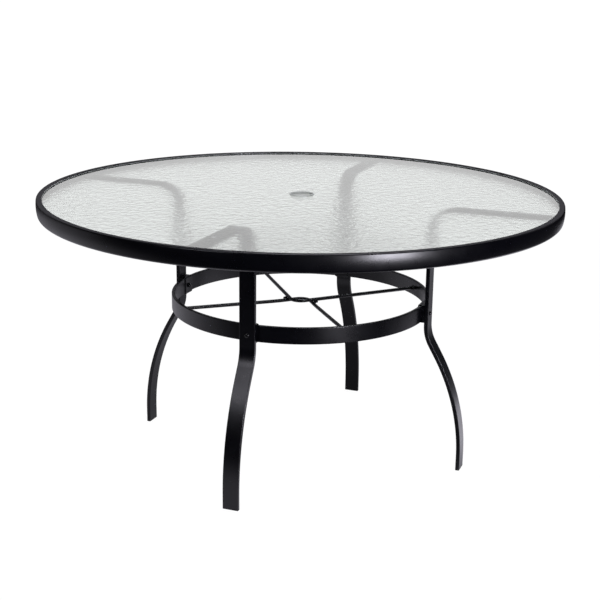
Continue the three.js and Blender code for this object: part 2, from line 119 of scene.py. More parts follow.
def mesh_piece(name, points, faces, material, slot, nodes=(), sharp=32):
    """A closed mesh from points in millimetres, welded, with its faces turned outwards.

    Edges that turn by more than `sharp` degrees stay sharp and the rest are shaded smooth.
    """
    mesh = bpy.data.meshes.new(name)
    mesh.from_pydata((np.asarray(points, float) * MM).tolist(), [], faces)
    shell = bmesh.new()
    shell.from_mesh(mesh)
    bmesh.ops.remove_doubles(shell, verts=shell.verts, dist=1e-6)
    bmesh.ops.recalc_face_normals(shell, faces=shell.faces)
    shell.to_mesh(mesh)
    shell.free()
    mesh.shade_smooth()
    mesh.set_sharp_from_angle(angle=math.radians(sharp))
    mesh.materials.append(material)
    piece = bpy.data.objects.new(name, mesh)
    bpy.context.scene.collection.objects.link(piece)
    piece.modifiers.new("flats_stay_flat", "WEIGHTED_NORMAL").keep_sharp = True
    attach(piece, "root")
    if nodes:
        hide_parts(*nodes)
    return piece


def grid_faces(rows, columns, ring_rows=False, ring_columns=True):
    """Four-cornered faces over a grid of points, which may close on itself either way."""
    index = np.arange(rows * columns).reshape(rows, columns)
    if ring_rows:
        index = np.vstack([index, index[:1]])
    if ring_columns:
        index = np.hstack([index, index[:, :1]])
    corners = (index[:-1, :-1], index[:-1, 1:], index[1:, 1:], index[1:, :-1])
    return np.stack(corners, -1).reshape(-1, 4).tolist()


def arc(x, y, radius, start, end, steps):
    """Points (x + radius cos a, y + radius sin a) for steps + 1 angles a from start to end."""
    angle = np.linspace(start, end, steps + 1)
    return np.column_stack([x + radius * np.cos(angle), y + radius * np.sin(angle)])


def turned(profile, sides):
    """Surface of revolution about Z: radius and height of the profile at `sides` azimuths."""
    radius, height = np.asarray(profile, float).T
    azimuth = np.arange(sides) * 2 * math.pi / sides
    x = radius[:, None] * np.cos(azimuth)
    y = radius[:, None] * np.sin(azimuth)
    z = np.broadcast_to(height[:, None], x.shape)
    return np.stack([x, y, z], -1)


def turned_ring(name, outline, sides, *finish, **more):
    """A ring whose section is a closed outline of radius and height."""
    grid = turned(outline, sides)
    faces = grid_faces(len(outline), sides, ring_rows=True)
    return mesh_piece(name, grid.reshape(-1, 3), faces, *finish, **more)


def about_z(points, azimuth):
    """Points turned about Z by an azimuth."""
    c, s = math.cos(azimuth), math.sin(azimuth)
    return np.asarray(points) @ np.array([[c, s, 0], [-s, c, 0], [0, 0, 1]])


def rounded_bar(width, height, radius, steps):
    """A rectangle about the origin whose corners are quarter arcs."""
    x, y = width / 2 - radius, height / 2 - radius
    corners = [(x, y, 0), (-x, y, 1), (-x, -y, 2), (x, -y, 3)]
    return np.vstack([arc(a, b, radius, q * QUARTER, (q + 1) * QUARTER, steps) for a, b, q in corners])


def swept(path, side, across, outline):
    """A section carried along a path: path + outline x times side + outline y times across."""
    return (
        path[:, None, :]
        + outline[None, :, :1] * side[:, None, :]
        + outline[None, :, 1:] * across[:, None, :]
    )


def tube_faces(rows, columns):
    """Faces of a swept section with a flat cap at each end."""
    last = (rows - 1) * columns
    caps = [list(range(columns)), list(range(last, last + columns))]
    return grid_faces(rows, columns) + caps


# Materials


def colour(code):
    """An sRGB hex value as linear red, green, blue and alpha."""
    parts = [int(code[i : i + 2], 16) / 255 for i in (1, 3, 5)]
    return [p / 12.92 if p <= 0.04045 else ((p + 0.055) / 1.055) ** 2.4 for p in parts] + [1.0]


def add(tree, kind, inputs=None, **settings):
    """Adds a shader node with its settings; each input gets a value or another node's output."""
    new = tree.nodes.new("ShaderNode" + kind)
    for name, value in settings.items():
        setattr(new, name, value)
    for name, value in (inputs or {}).items():
        if isinstance(value, bpy.types.NodeSocket):
            tree.links.new(value, new.inputs[name])
        else:
            new.inputs[name].default_value = value
    return new


def blank_material(name):
    """A node material with nothing in it yet."""
    material = bpy.data.materials.new(name)
    material.use_nodes = True
    material.node_tree.nodes.clear()
    return material, material.node_tree


def powder_coat(name, code, roughness, level):
    """Satin black polyester powder coat, sprayed and baked on aluminium and steel.

    It flows out to a faint orange peel about 2 mm across, drawn here at 3 mm so that it shows in
    the highlights, and its gloss wanders a little over a few centimetres.
    """
    material, tree = blank_material(name)
    place = add(tree, "TexCoord").outputs["Object"]
    drift = add(tree, "TexNoise", {"Vector": place, "Scale": 28.0, "Detail": 3.0}).outputs["Fac"]
    limits = {"From Min": 0.3, "From Max": 0.7, "To Min": roughness - 0.015, "To Max": roughness + 0.02}
    gloss = add(tree, "MapRange", {"Value": drift, **limits})
    peel = add(tree, "TexNoise", {"Vector": place, "Scale": 330.0, "Detail": 1.5})
    bump = add(tree, "Bump", {"Height": peel.outputs["Fac"], "Strength": 0.05, "Distance": 0.0004})
    lighter = [c * 1.35 for c in colour(code)[:3]] + [1.0]
    shade = add(tree, "Mix", {"Factor": drift, "A": colour(code), "B": lighter}, data_type="RGBA")
    surface = add(
        tree, "BsdfPrincipled",
        {
            "Base Color": shade.outputs["Result"],
            "Roughness": gloss.outputs["Result"],
            "Specular IOR Level": level,
            "Normal": bump.outputs["Normal"],
        },
    )
    add(tree, "OutputMaterial", {"Surface": surface.outputs["BSDF"]})
    return material


def rippled_glass():
    """Tempered patio glass rolled with a water ripple on its underside, polished on top.

    The ripples are lumps about 16 mm across and a few tenths of a millimetre high. The rolled face
    also scatters a little, so that things well below the glass fade. Iron gives a slight green.
    """
    material, tree = blank_material("rolled_rippled_tempered_glass")
    place = add(tree, "TexCoord").outputs["Object"]
    lumps = {"Scale": 60.0, "Detail": 1.2, "Roughness": 0.45, "Distortion": 0.6}
    waves = add(tree, "TexNoise", {"Vector": place, **lumps}).outputs["Fac"]
    height = add(tree, "SeparateXYZ", {"Vector": place}).outputs["Z"]
    middle = (GLASS_TOP + GLASS_UNDERSIDE) / 2 * MM
    below = add(tree, "Math", {0: height, 1: middle}, operation="LESS_THAN").outputs[0]
    ripple = add(tree, "Math", {0: waves, 1: below}, operation="MULTIPLY").outputs[0]
    bump = add(tree, "Bump", {"Height": ripple, "Strength": 1.0, "Distance": 0.0008})
    frosting = add(tree, "MapRange", {"Value": below, "To Min": 0.0, "To Max": 0.18})
    surface = add(
        tree, "BsdfPrincipled",
        {
            "Base Color": colour("#E4EAE7"),
            "Roughness": frosting.outputs["Result"],
            "IOR": 1.52,
            "Transmission Weight": 1.0,
            "Normal": bump.outputs["Normal"],
        },
    )
    add(tree, "OutputMaterial", {"Surface": surface.outputs["BSDF"]})
    return material


def clear_vinyl(name, code, roughness, clear, cover=1.0):
    """Soft extruded or moulded PVC, milky rather than clear, with a slightly uneven skin.

    `clear` is the share that refracts, and `cover` how much a thin wall hides of what is behind it.
    """
    material, tree = blank_material(name)
    place = add(tree, "TexCoord").outputs["Object"]
    skin = add(tree, "TexNoise", {"Vector": place, "Scale": 160.0, "Detail": 2.0})
    bump = add(tree, "Bump", {"Height": skin.outputs["Fac"], "Strength": 0.2, "Distance": 0.0005})
    surface = add(
        tree, "BsdfPrincipled",
        {
            "Base Color": colour(code),
            "Roughness": roughness,
            "IOR": 1.53,
            "Transmission Weight": clear,
            "Alpha": cover,
            "Normal": bump.outputs["Normal"],
        },
    )
    add(tree, "OutputMaterial", {"Surface": surface.outputs["BSDF"]})
    return material


def moulded_nylon():
    """Black nylon, injection moulded, with a fine matt grain and scuffs from the floor."""
    material, tree = blank_material("moulded_black_nylon")
    place = add(tree, "TexCoord").outputs["Object"]
    grain = add(tree, "TexNoise", {"Vector": place, "Scale": 900.0, "Detail": 2.0})
    scuff = add(tree, "TexNoise", {"Vector": place, "Scale": 120.0, "Detail": 4.0}).outputs["Fac"]
    worn = add(tree, "MapRange", {"Value": scuff, "From Min": 0.45, "From Max": 0.75}).outputs["Result"]
    plain, rubbed = colour("#101011"), colour("#2A2A2C")
    shade = add(tree, "Mix", {"Factor": worn, "A": plain, "B": rubbed}, data_type="RGBA")
    bump = add(tree, "Bump", {"Height": grain.outputs["Fac"], "Strength": 0.25, "Distance": 0.0002})
    surface = add(
        tree, "BsdfPrincipled",
        {"Base Color": shade.outputs["Result"], "Roughness": 0.62, "Normal": bump.outputs["Normal"]},
    )
    add(tree, "OutputMaterial", {"Surface": surface.outputs["BSDF"]})
    return material


coat = powder_coat("satin_black_powder_coat", "#020205", 0.28, 0.4)
coated_steel = powder_coat("black_coated_steel_hardware", "#09090B", 0.24, 0.5)
glass = rippled_glass()
gasket_vinyl = clear_vinyl("extruded_clear_vinyl", "#E8EBEA", 0.35, 0.3)
grommet_vinyl = clear_vinyl("moulded_milky_vinyl", "#F4F9F0", 0.5, 0.0, 0.5)
nylon = moulded_nylon()

COAT = (coat, "black_powder_coat")
STEEL = (coated_steel, "black_steel")
GLASS = (glass, "textured_glass")
VINYL = (gasket_vinyl, "clear_vinyl")
MILKY_VINYL = (grommet_vinyl, "clear_vinyl")
NYLON = (nylon, "black_nylon")


# Rim


def rim_outline():
    """Section of the rim's extrusion, radius and height, from the lip's inner edge inwards and down.

    Lip and outer face are crowned: the face is widest 15.5 mm below the top and falls back from
    there by the square of the way over twice the crown's radius of 105 mm. The lip is highest at a
    radius of 676 mm and falls away likewise with 50 mm. Round corners join them.
    """
    bottom = TABLE_TOP - RIM_HEIGHT
    crown, widest, top_round, foot_round = 105.0, 15.5, 3.2, 8.0
    first, last = 3.2, 36.9
    middle, lip_crown, lip_side = 676.0, 50.0, 6.3
    wall, lip_edge, shelf_edge = 2.6, 0.9, 0.6
    depth = np.linspace(last, first, 18)
    face = np.column_stack([RIM_RADIUS - (depth - widest) ** 2 / (2 * crown), TABLE_TOP - depth])
    lean_top, lean_foot = math.atan((widest - first) / crown), math.atan((last - widest) / crown)
    corner = face[0] - foot_round * np.array([math.cos(lean_foot), -math.sin(lean_foot)])
    crest = face[-1] - top_round * np.array([math.cos(lean_top), math.sin(lean_top)])
    across = np.linspace(middle + lip_side, LIP_RADIUS + 0.8, 10)
    lip = np.column_stack([across, TABLE_TOP - (across - middle) ** 2 / (2 * lip_crown)])
    lean_out, lean_in = math.atan(lip_side / lip_crown), math.atan((middle - lip[-1, 0]) / lip_crown)
    inner, flange = RIM_RADIUS - wall, corner[0] - 3.4
    return np.vstack([
        arc(LIP_RADIUS + lip_edge, LIP_UNDERSIDE + lip_edge, lip_edge, 2 * QUARTER, 3 * QUARTER, 4),
        [[POCKET_RADIUS, LIP_UNDERSIDE], [POCKET_RADIUS, SHELF_TOP]],
        arc(SHELF_RADIUS + shelf_edge, SHELF_TOP - shelf_edge, shelf_edge, QUARTER, 2 * QUARTER, 3),
        arc(SHELF_RADIUS + shelf_edge, SHELF_UNDERSIDE + shelf_edge, shelf_edge, 2 * QUARTER, 3 * QUARTER, 3),
        [[inner - 1.2, SHELF_UNDERSIDE], [inner - 3.4, corner[1]]],
        arc(corner[0], corner[1], foot_round - wall, 0, -QUARTER, 6),
        arc(flange, bottom + wall - shelf_edge, shelf_edge, QUARTER, 2 * QUARTER, 3),
        arc(flange, bottom + shelf_edge, shelf_edge, 2 * QUARTER, 3 * QUARTER, 3),
        arc(corner[0], corner[1], foot_round, -QUARTER, -lean_foot, 12)[:-1],
        face,
        arc(crest[0], crest[1], top_round, lean_top, QUARTER - lean_out, 9)[1:-1],
        lip,
        arc(LIP_RADIUS + lip_edge, lip[-1, 1] - 0.89, lip_edge, QUARTER + lean_in, 2 * QUARTER, 4)[1:],
    ])


turned_ring("rim", rim_outline(), 544, *COAT, nodes=["rim_frame"])


# Glass, gasket and grommet


def glass_outline():
    """Section of the disc with its ground edges, from the umbrella hole to the rim."""
    hole, edge = GROMMET_OUTER + 0.4, 0.9
    spread = np.linspace(hole + edge, GLASS_RADIUS - edge, 18)
    under = np.column_stack([spread, np.full(18, GLASS_UNDERSIDE)])
    over = np.column_stack([spread[::-1], np.full(18, GLASS_TOP)])
    return np.vstack([
        under,
        arc(GLASS_RADIUS - edge, GLASS_UNDERSIDE + edge, edge, -QUARTER, 0, 4)[1:],
        arc(GLASS_RADIUS - edge, GLASS_TOP - edge, edge, 0, QUARTER, 4)[:-1],
        over,
        arc(hole + edge, GLASS_TOP - edge, edge, QUARTER, 2 * QUARTER, 4)[1:],
        arc(hole + edge, GLASS_UNDERSIDE + edge, edge, 2 * QUARTER, 3 * QUARTER, 4)[:-1],
    ])


def gasket_outline():
    """Section of the glazing channel: a U round the glass edge whose rounded upper flap ends under
    the lip."""
    top, bottom, bead = LIP_UNDERSIDE - 0.3, SHELF_TOP + 0.3, 0.65
    return np.vstack([
        [[LIP_RADIUS + 2.0, top]],
        arc(LIP_RADIUS + 0.8, GLASS_TOP + 0.3 + bead, bead, QUARTER, 3 * QUARTER, 12),
        [[GLASS_RADIUS + 0.3, top - 1.0], [GLASS_RADIUS + 0.3, bottom + 1.0]],
        arc(SHELF_RADIUS + 0.5, bottom + 0.5, 0.5, QUARTER, 3 * QUARTER, 6),
        [[GASKET_OUTER - 0.6, bottom]],
        [[GASKET_OUTER, bottom + 0.6], [GASKET_OUTER, top]],
    ])


def grommet_outline():
    """Section of the bush: thin domed lip on the glass, wall, snap ridge and tapered tail."""
    lip, seat = GROMMET_OUTER + 3.0, GLASS_TOP + 0.3
    ridge = GLASS_UNDERSIDE - 0.3
    return np.vstack([
        arc(GROMMET_BORE + 1.0, seat + 0.5, 1.0, 2 * QUARTER, QUARTER, 5)[::-1],
        arc(GROMMET_BORE + 0.8, ridge - 8.2, 0.8, 2 * QUARTER, 3 * QUARTER, 4),
        [[GROMMET_OUTER - 0.5, ridge - 9.0], [GROMMET_OUTER, ridge - 8.4], [GROMMET_OUTER, ridge - 3.0]],
        [[GROMMET_OUTER + 1.2, ridge - 0.5], [GROMMET_OUTER + 1.1, ridge], [GROMMET_OUTER, ridge]],
        [[GROMMET_OUTER, seat], [lip, seat]],
        arc(lip - 1.5, seat, 1.5, 0, QUARTER, 6)[1:],
    ])


turned_ring("glass_pane", glass_outline(), 256, *GLASS, nodes=["glass_top"])
turned_ring("gasket", gasket_outline(), 320, *VINYL, nodes=["glazing_gasket"])
turned_ring("grommet", grommet_outline(), 96, *MILKY_VINYL, nodes=["umbrella_hole_grommet"])


# Legs


def leg_path():
    """Middle line of a leg: columns of radius, height and the outward normal's angle above level.

    Arm, quarter bend of 68 mm, post, knee arc of 100 mm, a slope of 35 mm, calf arc of 540 mm and foot.
    Every arc is its centre plus its radius times cosine and sine of an evenly spaced angle.
    """
    arm = np.linspace(ARM_END, ARM_START, 6)[:-1]
    bend = arc(ARM_START, ARM_MIDDLE - ARM_BEND, ARM_BEND, QUARTER, 2 * QUARTER, 19)
    knee = np.linspace(0, KNEE_ANGLE, 14)
    knee_radius = POST_RADIUS + KNEE_RADIUS * (1 - np.cos(knee))
    calf = np.linspace(KNEE_ANGLE, 0, 32)
    calf_radius = FOOT_RADIUS - CALF_RADIUS * (1 - np.cos(calf))
    return np.vstack([
        np.column_stack([arm, arm * 0 + ARM_MIDDLE, arm * 0 - QUARTER]),
        np.column_stack([bend, np.linspace(-QUARTER, 0, 20)]),
        np.column_stack([knee_radius, KNEE_HEIGHT - KNEE_RADIUS * np.sin(knee), knee]),
        np.column_stack([calf_radius, FOOT_STRAIGHT + CALF_RADIUS * np.sin(calf), calf]),
        [[FOOT_RADIUS, SOLE + 0.3, 0]],
    ])


def leg_surface():
    """Outer and inner skin of the tube: the middle line plus the section's x along the outward
    normal (cos tilt, sin tilt) and its y across the leg. Both skins meet in a flat wall at each end."""
    radius, height, tilt = leg_path().T
    zero = np.zeros_like(radius)
    path = np.column_stack([radius, zero, height])
    side = np.column_stack([np.cos(tilt), zero, np.sin(tilt)])
    across = np.column_stack([zero, zero + 1, zero])
    skin = rounded_bar(LEG_THICKNESS, LEG_WIDTH, LEG_EDGE, 6)
    hollow = rounded_bar(LEG_THICKNESS - 2 * LEG_WALL, LEG_WIDTH - 2 * LEG_WALL, 0.8, 6)
    outer = swept(path, side, across, skin)
    inner = swept(path, side, across, hollow)
    grid = np.concatenate([outer, inner[::-1]])
    return grid.reshape(-1, 3), grid_faces(len(grid), len(skin), ring_rows=True)


def glide_surface():
    """Sole of the glide: a low rounded bar through outlines at five heights, each with its inset."""
    levels = ((0.0, 0.7), (0.35, 0.2), (0.8, 0.0), (2.5, 0.0), (3.0, 0.4))
    rows = []
    for height, inset in levels:
        outline = rounded_bar(LEG_THICKNESS - 2 * inset, LEG_WIDTH - 2 * inset, LEG_EDGE - inset / 2, 5)
        rows.append(np.insert(outline, 2, height, axis=1))
    grid = np.array(rows) + [FOOT_RADIUS, 0, 0]
    return grid.reshape(-1, 3), tube_faces(len(levels), len(outline))


for corner, azimuth in CORNERS.items():
    points, faces = leg_surface()
    mesh_piece(f"leg_tube_{corner}", about_z(points, azimuth), faces, *COAT, nodes=[f"leg_{corner}"])
    points, faces = glide_surface()
    mesh_piece(f"glide_{corner}", about_z(points, azimuth), faces, *NYLON, nodes=[f"foot_glide_{corner}"])


# Stretcher ring


def ring_outline():
    """Section of the rolled ring: a flat bar with rounded edges."""
    bar = rounded_bar(RING_OUTSIDE - RING_INSIDE, RING_TOP - RING_BOTTOM, 1.8, 5)
    return bar + [(RING_OUTSIDE + RING_INSIDE) / 2, RING_MIDDLE]


turned_ring("ring", ring_outline(), 360, *COAT, nodes=["stretcher_ring"])


# Rods


def rod_surface(turn, pole_height):
    """A round bar: straight from the ring to the eye, round the pole on a 28 mm arc and back.

    The arms touch the arc, so at a distance d from the pole's axis the way along the arm is
    sqrt(d d - 28 28). The rod that lies below falls evenly towards the pole and is level within
    60 mm of it.
    """
    end, level_within = RING_INSIDE - 1.2, 60.0
    half = QUARTER / 2 + math.acos(EYE_RADIUS / end)
    bow = np.linspace(half, 4 * QUARTER - half, 40)
    along = np.sqrt(end**2 - EYE_RADIUS**2) * np.linspace(1, 0, 16)[:-1]
    arm = np.column_stack([
        EYE_RADIUS * math.cos(half) + along * math.sin(half),
        EYE_RADIUS * math.sin(half) - along * math.cos(half),
    ])
    plan = np.vstack([arm, EYE_RADIUS * np.column_stack([np.cos(bow), np.sin(bow)]), (arm * [1, -1])[::-1]])
    reach = np.hypot(plan[:, 0], plan[:, 1])
    climb = np.clip((reach - level_within) / (end - level_within), 0, 1)
    path = np.column_stack([plan, pole_height + (ROD_HEIGHT - pole_height) * climb])
    tangent = np.gradient(path, axis=0)
    tangent /= np.linalg.norm(tangent, axis=1)[:, None]
    side = np.cross(tangent, [0, 0, 1.0])
    side /= np.linalg.norm(side, axis=1)[:, None]
    section = arc(0, 0, ROD_RADIUS, 0, 4 * QUARTER, 20)[:-1]
    grid = swept(path, side, np.cross(side, tangent), section)
    return about_z(grid.reshape(-1, 3), turn), tube_faces(len(path), len(section))


for name, turn, height in (
    ("upper", ROD_TURN + QUARTER / 2, ROD_HEIGHT),
    ("lower", ROD_TURN + QUARTER / 2 + 2 * QUARTER, LOWER_ROD_HEIGHT),
):
    points, faces = rod_surface(turn, height)
    mesh_piece(f"rod_{name}", points, faces, *COAT, nodes=[f"pole_rod_{name}"])


# Saddles that wrap the ring, their spacers, bolts and cap nuts

# A radius or width so large that it never sets a row's outline
NO_HEXAGON = 1e3


def turned_or_hexagonal(rows, sides=48):
    """Closed surface about Z from rows of round radius, width across flats and height.

    At each azimuth the radius is the smaller of the row's circle and its hexagon, which is
    half the width over the cosine of the azimuth from the middle of the nearest flat.
    """
    circle, flats, height = np.asarray(rows, float).T
    azimuth = np.arange(sides) * 2 * math.pi / sides
    from_flat = (azimuth + math.pi / 6) % (math.pi / 3) - math.pi / 6
    radius = np.minimum(circle[:, None], flats[:, None] / 2 / np.cos(from_flat))
    grid = np.stack([
        radius * np.cos(azimuth), radius * np.sin(azimuth), np.broadcast_to(height[:, None], radius.shape),
    ], -1)
    return grid.reshape(-1, 3), tube_faces(len(rows), sides)


def stand(points, direction, foot):
    """Points drawn about Z, stood so that their Z runs along the direction from the foot."""
    level = np.array([0.0, 1.0, 0.0])
    axes = np.array([np.cross(level, direction), level, direction])
    return np.asarray(points) @ axes + foot


def button_screw(shank, length, head, height, socket, depth):
    """Rows of a button-head screw, its seat at height 0: shank, rim, domed head and hexagon socket.

    The dome's radius and height run as cosine and sine from the head's rim, a quarter of its height,
    to its flat top, whose radius is 0.68 times the socket's width.
    """
    top = socket * 0.68
    dome = np.linspace(0, QUARTER, 8)
    rim = 0.25 * height
    rows = [
        (shank / 2 - 0.6, NO_HEXAGON, -length), (shank / 2, NO_HEXAGON, -length + 0.6),
        (shank / 2, NO_HEXAGON, 0), (head / 2 - 0.25, NO_HEXAGON, 0), (head / 2, NO_HEXAGON, 0.25),
    ]
    rows += [
        (top + (head / 2 - top) * math.cos(a), NO_HEXAGON, rim + (height - rim) * math.sin(a)) for a in dome
    ]
    rows += [
        (NO_HEXAGON, socket + 0.3, height), (NO_HEXAGON, socket, height - 0.2),
        (NO_HEXAGON, socket, height - depth),
    ]
    return rows


def cap_nut_rows():
    """Rows of a cap nut on its seat: chamfered hexagon, then a dome whose radius is a cosine."""
    flats, hexagon, chamfer, dome, dome_height = 11.1, 5.0, 0.9, 5.15, 4.0
    face, corners = flats / 2 - 0.1, flats / 2 * 1.155
    rows = [(face, flats, 0), (corners, flats, chamfer)]
    rows += [(corners, flats, hexagon - chamfer), (face, flats, hexagon)]
    rows += [
        (dome * math.cos(a), NO_HEXAGON, hexagon + dome_height * math.sin(a)) for a in np.linspace(0, 1.45, 8)
    ]
    return rows


def saddle_line(top, bottom, back, turn):
    """Middle line of the saddle's plate: columns of radius, height and its outer face's direction.

    It runs straight from the post, round a quarter arc, down, round another and back to the post.
    An arc's points are its centre plus or minus `turn` times the sine and cosine of its angle.
    """
    quarter = np.linspace(0, QUARTER, 6)
    over = np.linspace(POST_FACE, back + turn + 1, 5)
    down = np.linspace(top - turn, bottom + turn, 16)[1:-1]
    sine, cosine = turn * np.sin(quarter), turn * np.cos(quarter)
    return np.vstack([
        np.column_stack([over, over * 0 + top, over * 0 + QUARTER]),
        np.column_stack([back + turn - sine, top - turn + cosine, QUARTER + quarter]),
        np.column_stack([down * 0 + back, down, down * 0 + 2 * QUARTER]),
        np.column_stack([back + turn - cosine, bottom + turn - sine, 2 * QUARTER + quarter]),
        np.column_stack([over[::-1], over * 0 + bottom, over * 0 + 3 * QUARTER]),
    ])


def saddle_surface():
    """A 2.5 mm plate bent round the ring's top, back and bottom, with its ends on the leg, and two
    cheeks that close the gap between the ring and the leg.

    The middle line runs from the leg over the ring, down its back and out again. Across it the
    plate is as wide as a 40 mm blank with 5 mm corners allows at that height, less an edge that is
    rounded over 3 mm. Its back follows the ring's curve, x = sqrt(radius squared - y squared), which
    eases to a straight end between the radii of 340 and 348 mm.
    """
    plate, bend, blank, corner, edge = 2.5, 3.0, 40.0, 5.0, 3.0
    curved, straight = 340.0, 348.0
    top, bottom = RING_TOP + 0.3 + plate / 2, RING_BOTTOM - 0.3 - plate / 2
    line = saddle_line(top, bottom, SADDLE_BACK + plate / 2, bend - plate / 2)
    radius, height, facing = line.T
    off = np.abs(height - RING_MIDDLE) - ((top - bottom + plate) / 2 - corner)
    half = blank / 2 - corner + np.sqrt(np.clip(corner**2 - np.clip(off, 0, corner) ** 2, 0, None))
    flat = np.linspace(1, -1, 9)
    round_off = np.linspace(0, 2 * QUARTER, 7)[1:-1]
    spread = np.concatenate([flat, -np.ones(5), -flat, np.ones(5)])
    inset = edge * np.concatenate([flat, np.sin(round_off) - 1, -flat, 1 - np.sin(round_off)])
    rise = np.concatenate([np.ones(9), np.cos(round_off), -np.ones(9), -np.cos(round_off)]) * plate / 2
    y = half[:, None] * spread - inset
    r = radius[:, None] + np.cos(facing)[:, None] * rise
    z = height[:, None] + np.sin(facing)[:, None] * rise
    curve = np.clip((straight - radius) / (straight - curved), 0, 1)[:, None]
    x = r + (np.sqrt(r**2 - y**2) - r) * curve
    points = np.stack([x, y, z], -1).reshape(-1, 3)
    faces = tube_faces(len(line), len(spread))
    cheek_thickness, side = 1.6, half.max() - 0.6
    cheek = rounded_bar(POST_FACE - RING_OUTSIDE - 0.9, RING_TOP - RING_BOTTOM + 0.2, 1.0, 4)
    cheek += [(POST_FACE + RING_OUTSIDE + 0.3) / 2, RING_MIDDLE]
    for inner in (side - cheek_thickness, -side):
        ends = [np.insert(cheek, 1, inner + more, axis=1) for more in (0, cheek_thickness)]
        faces += [[len(points) + point for point in face] for face in tube_faces(2, len(cheek))]
        points = np.vstack([points, *ends])
    return points, faces


def bracket_surface():
    """A plate on the rim's inner wall whose tongue enters the arm, drawn across a 37 mm width.

    The outline is carried across y at steps of a sine, which are closer at the edges. The wall side
    follows the rim, x = sqrt(radius squared - y squared), and the tongue is straight: one eases
    into the other between the radii of 660 and 675 mm.
    """
    wall, foot, tongue_top, tongue_bottom, tip, half_width = 682.4, 674.9, 697.8, 692.3, 623.0, 18.5
    outline = np.vstack([
        arc(tip, tongue_top - 1.0, 1.0, QUARTER, 2 * QUARTER, 4),
        arc(tip, tongue_bottom + 1.0, 1.0, 2 * QUARTER, 3 * QUARTER, 4),
        arc(wall - 5.4, tongue_bottom - 2.0, 2.0, QUARTER, 0, 5),
        arc(wall - 4.4, foot + 0.8, 0.8, 2 * QUARTER, 3 * QUARTER, 3),
        [[wall - 1.9, foot], [wall - 0.3, tongue_bottom], [wall - 0.5, tongue_top]],
    ])
    across = half_width * np.sin(np.linspace(-QUARTER, QUARTER, 11))
    radius, height = outline.T
    straight, curved = 660.0, 675.0
    bend = np.clip((radius - straight) / (curved - straight), 0, 1)
    x = radius + (np.sqrt(radius**2 - across[:, None] ** 2) - radius) * bend
    y = np.broadcast_to(across[:, None], x.shape)
    z = np.broadcast_to(height, x.shape)
    grid = np.stack([x, y, z], -1)
    return grid.reshape(-1, 3), tube_faces(len(across), len(outline))


def spacer_surface():
    """A short tube round the bolt between ring and leg, with chamfered ends."""
    length, bore, outer, chamfer = POST_FACE - SPACER_START, 3.6, 7.975, 0.4
    rows = [(bore, 0), (outer - chamfer, 0), (outer, chamfer)]
    rows += [(outer, length - chamfer), (outer - chamfer, length), (bore, length)]
    grid = turned(rows, 40)
    return grid.reshape(-1, 3), grid_faces(len(rows), 40, ring_rows=True)


def bumper_surface():
    """A clear disc under the glass, 12 mm across and 1 mm thick, whose edge is a round of 0.5 mm."""
    flat, edge = 5.5, 0.5
    rows = [(flat, NO_HEXAGON, 0)]
    rows += [
        (flat + edge * math.cos(a), NO_HEXAGON, edge + edge * math.sin(a)) for a in np.linspace(-1.2, 1.2, 7)
    ]
    rows += [(flat, NO_HEXAGON, 2 * edge)]
    return turned_or_hexagonal(rows, 32)


OUTWARD, UP = np.array([1.0, 0, 0]), np.array([0, 0, 1.0])
INWARD, DOWN = -OUTWARD, -UP
BOLT = turned_or_hexagonal(button_screw(6.35, 24.0, 11.8, 3.3, 4.0, 2.0))
SCREW = turned_or_hexagonal(button_screw(5.0, 6.5, 9.5, 2.6, 3.0, 1.4))
CAP_NUT = turned_or_hexagonal(cap_nut_rows())
IN_PLACE = (UP, (0, 0, 0))

# Name, surface, finish, CAD node, and the direction and foot that the piece stands on
FITTINGS = (
    ("saddle", saddle_surface(), COAT, "ring_saddle", *IN_PLACE),
    ("spacer", spacer_surface(), COAT, "ring_spacer", OUTWARD, (SPACER_START, 0, BOLT_HEIGHT)),
    ("post_bolt", BOLT, STEEL, "leg_bolt", OUTWARD, (BOLT_SEAT, 0, BOLT_HEIGHT)),
    ("domed_nut", CAP_NUT, STEEL, "cap_nut", INWARD, (NUT_SEAT, 0, BOLT_HEIGHT)),
    ("bracket", bracket_surface(), COAT, "rim_bracket", *IN_PLACE),
    ("arm_screw_outer", SCREW, STEEL, "bracket_screw_outer", DOWN, (OUTER_SCREW, 0, SCREW_SEAT)),
    ("arm_screw_inner", SCREW, STEEL, "bracket_screw_inner", DOWN, (INNER_SCREW, 0, SCREW_SEAT)),
    ("bumper", bumper_surface(), VINYL, "glass_bumper", UP, (BUMPER_RADIUS, 0, BUMPER_SEAT)),
)

for corner, azimuth in CORNERS.items():
    for name, (points, faces), finish, node, direction, foot in FITTINGS:
        placed = about_z(stand(points, direction, foot), azimuth)
        mesh_piece(f"{name}_{corner}", placed, faces, *finish, nodes=[f"{node}_{corner}"])


# Welds of the rods to the ring


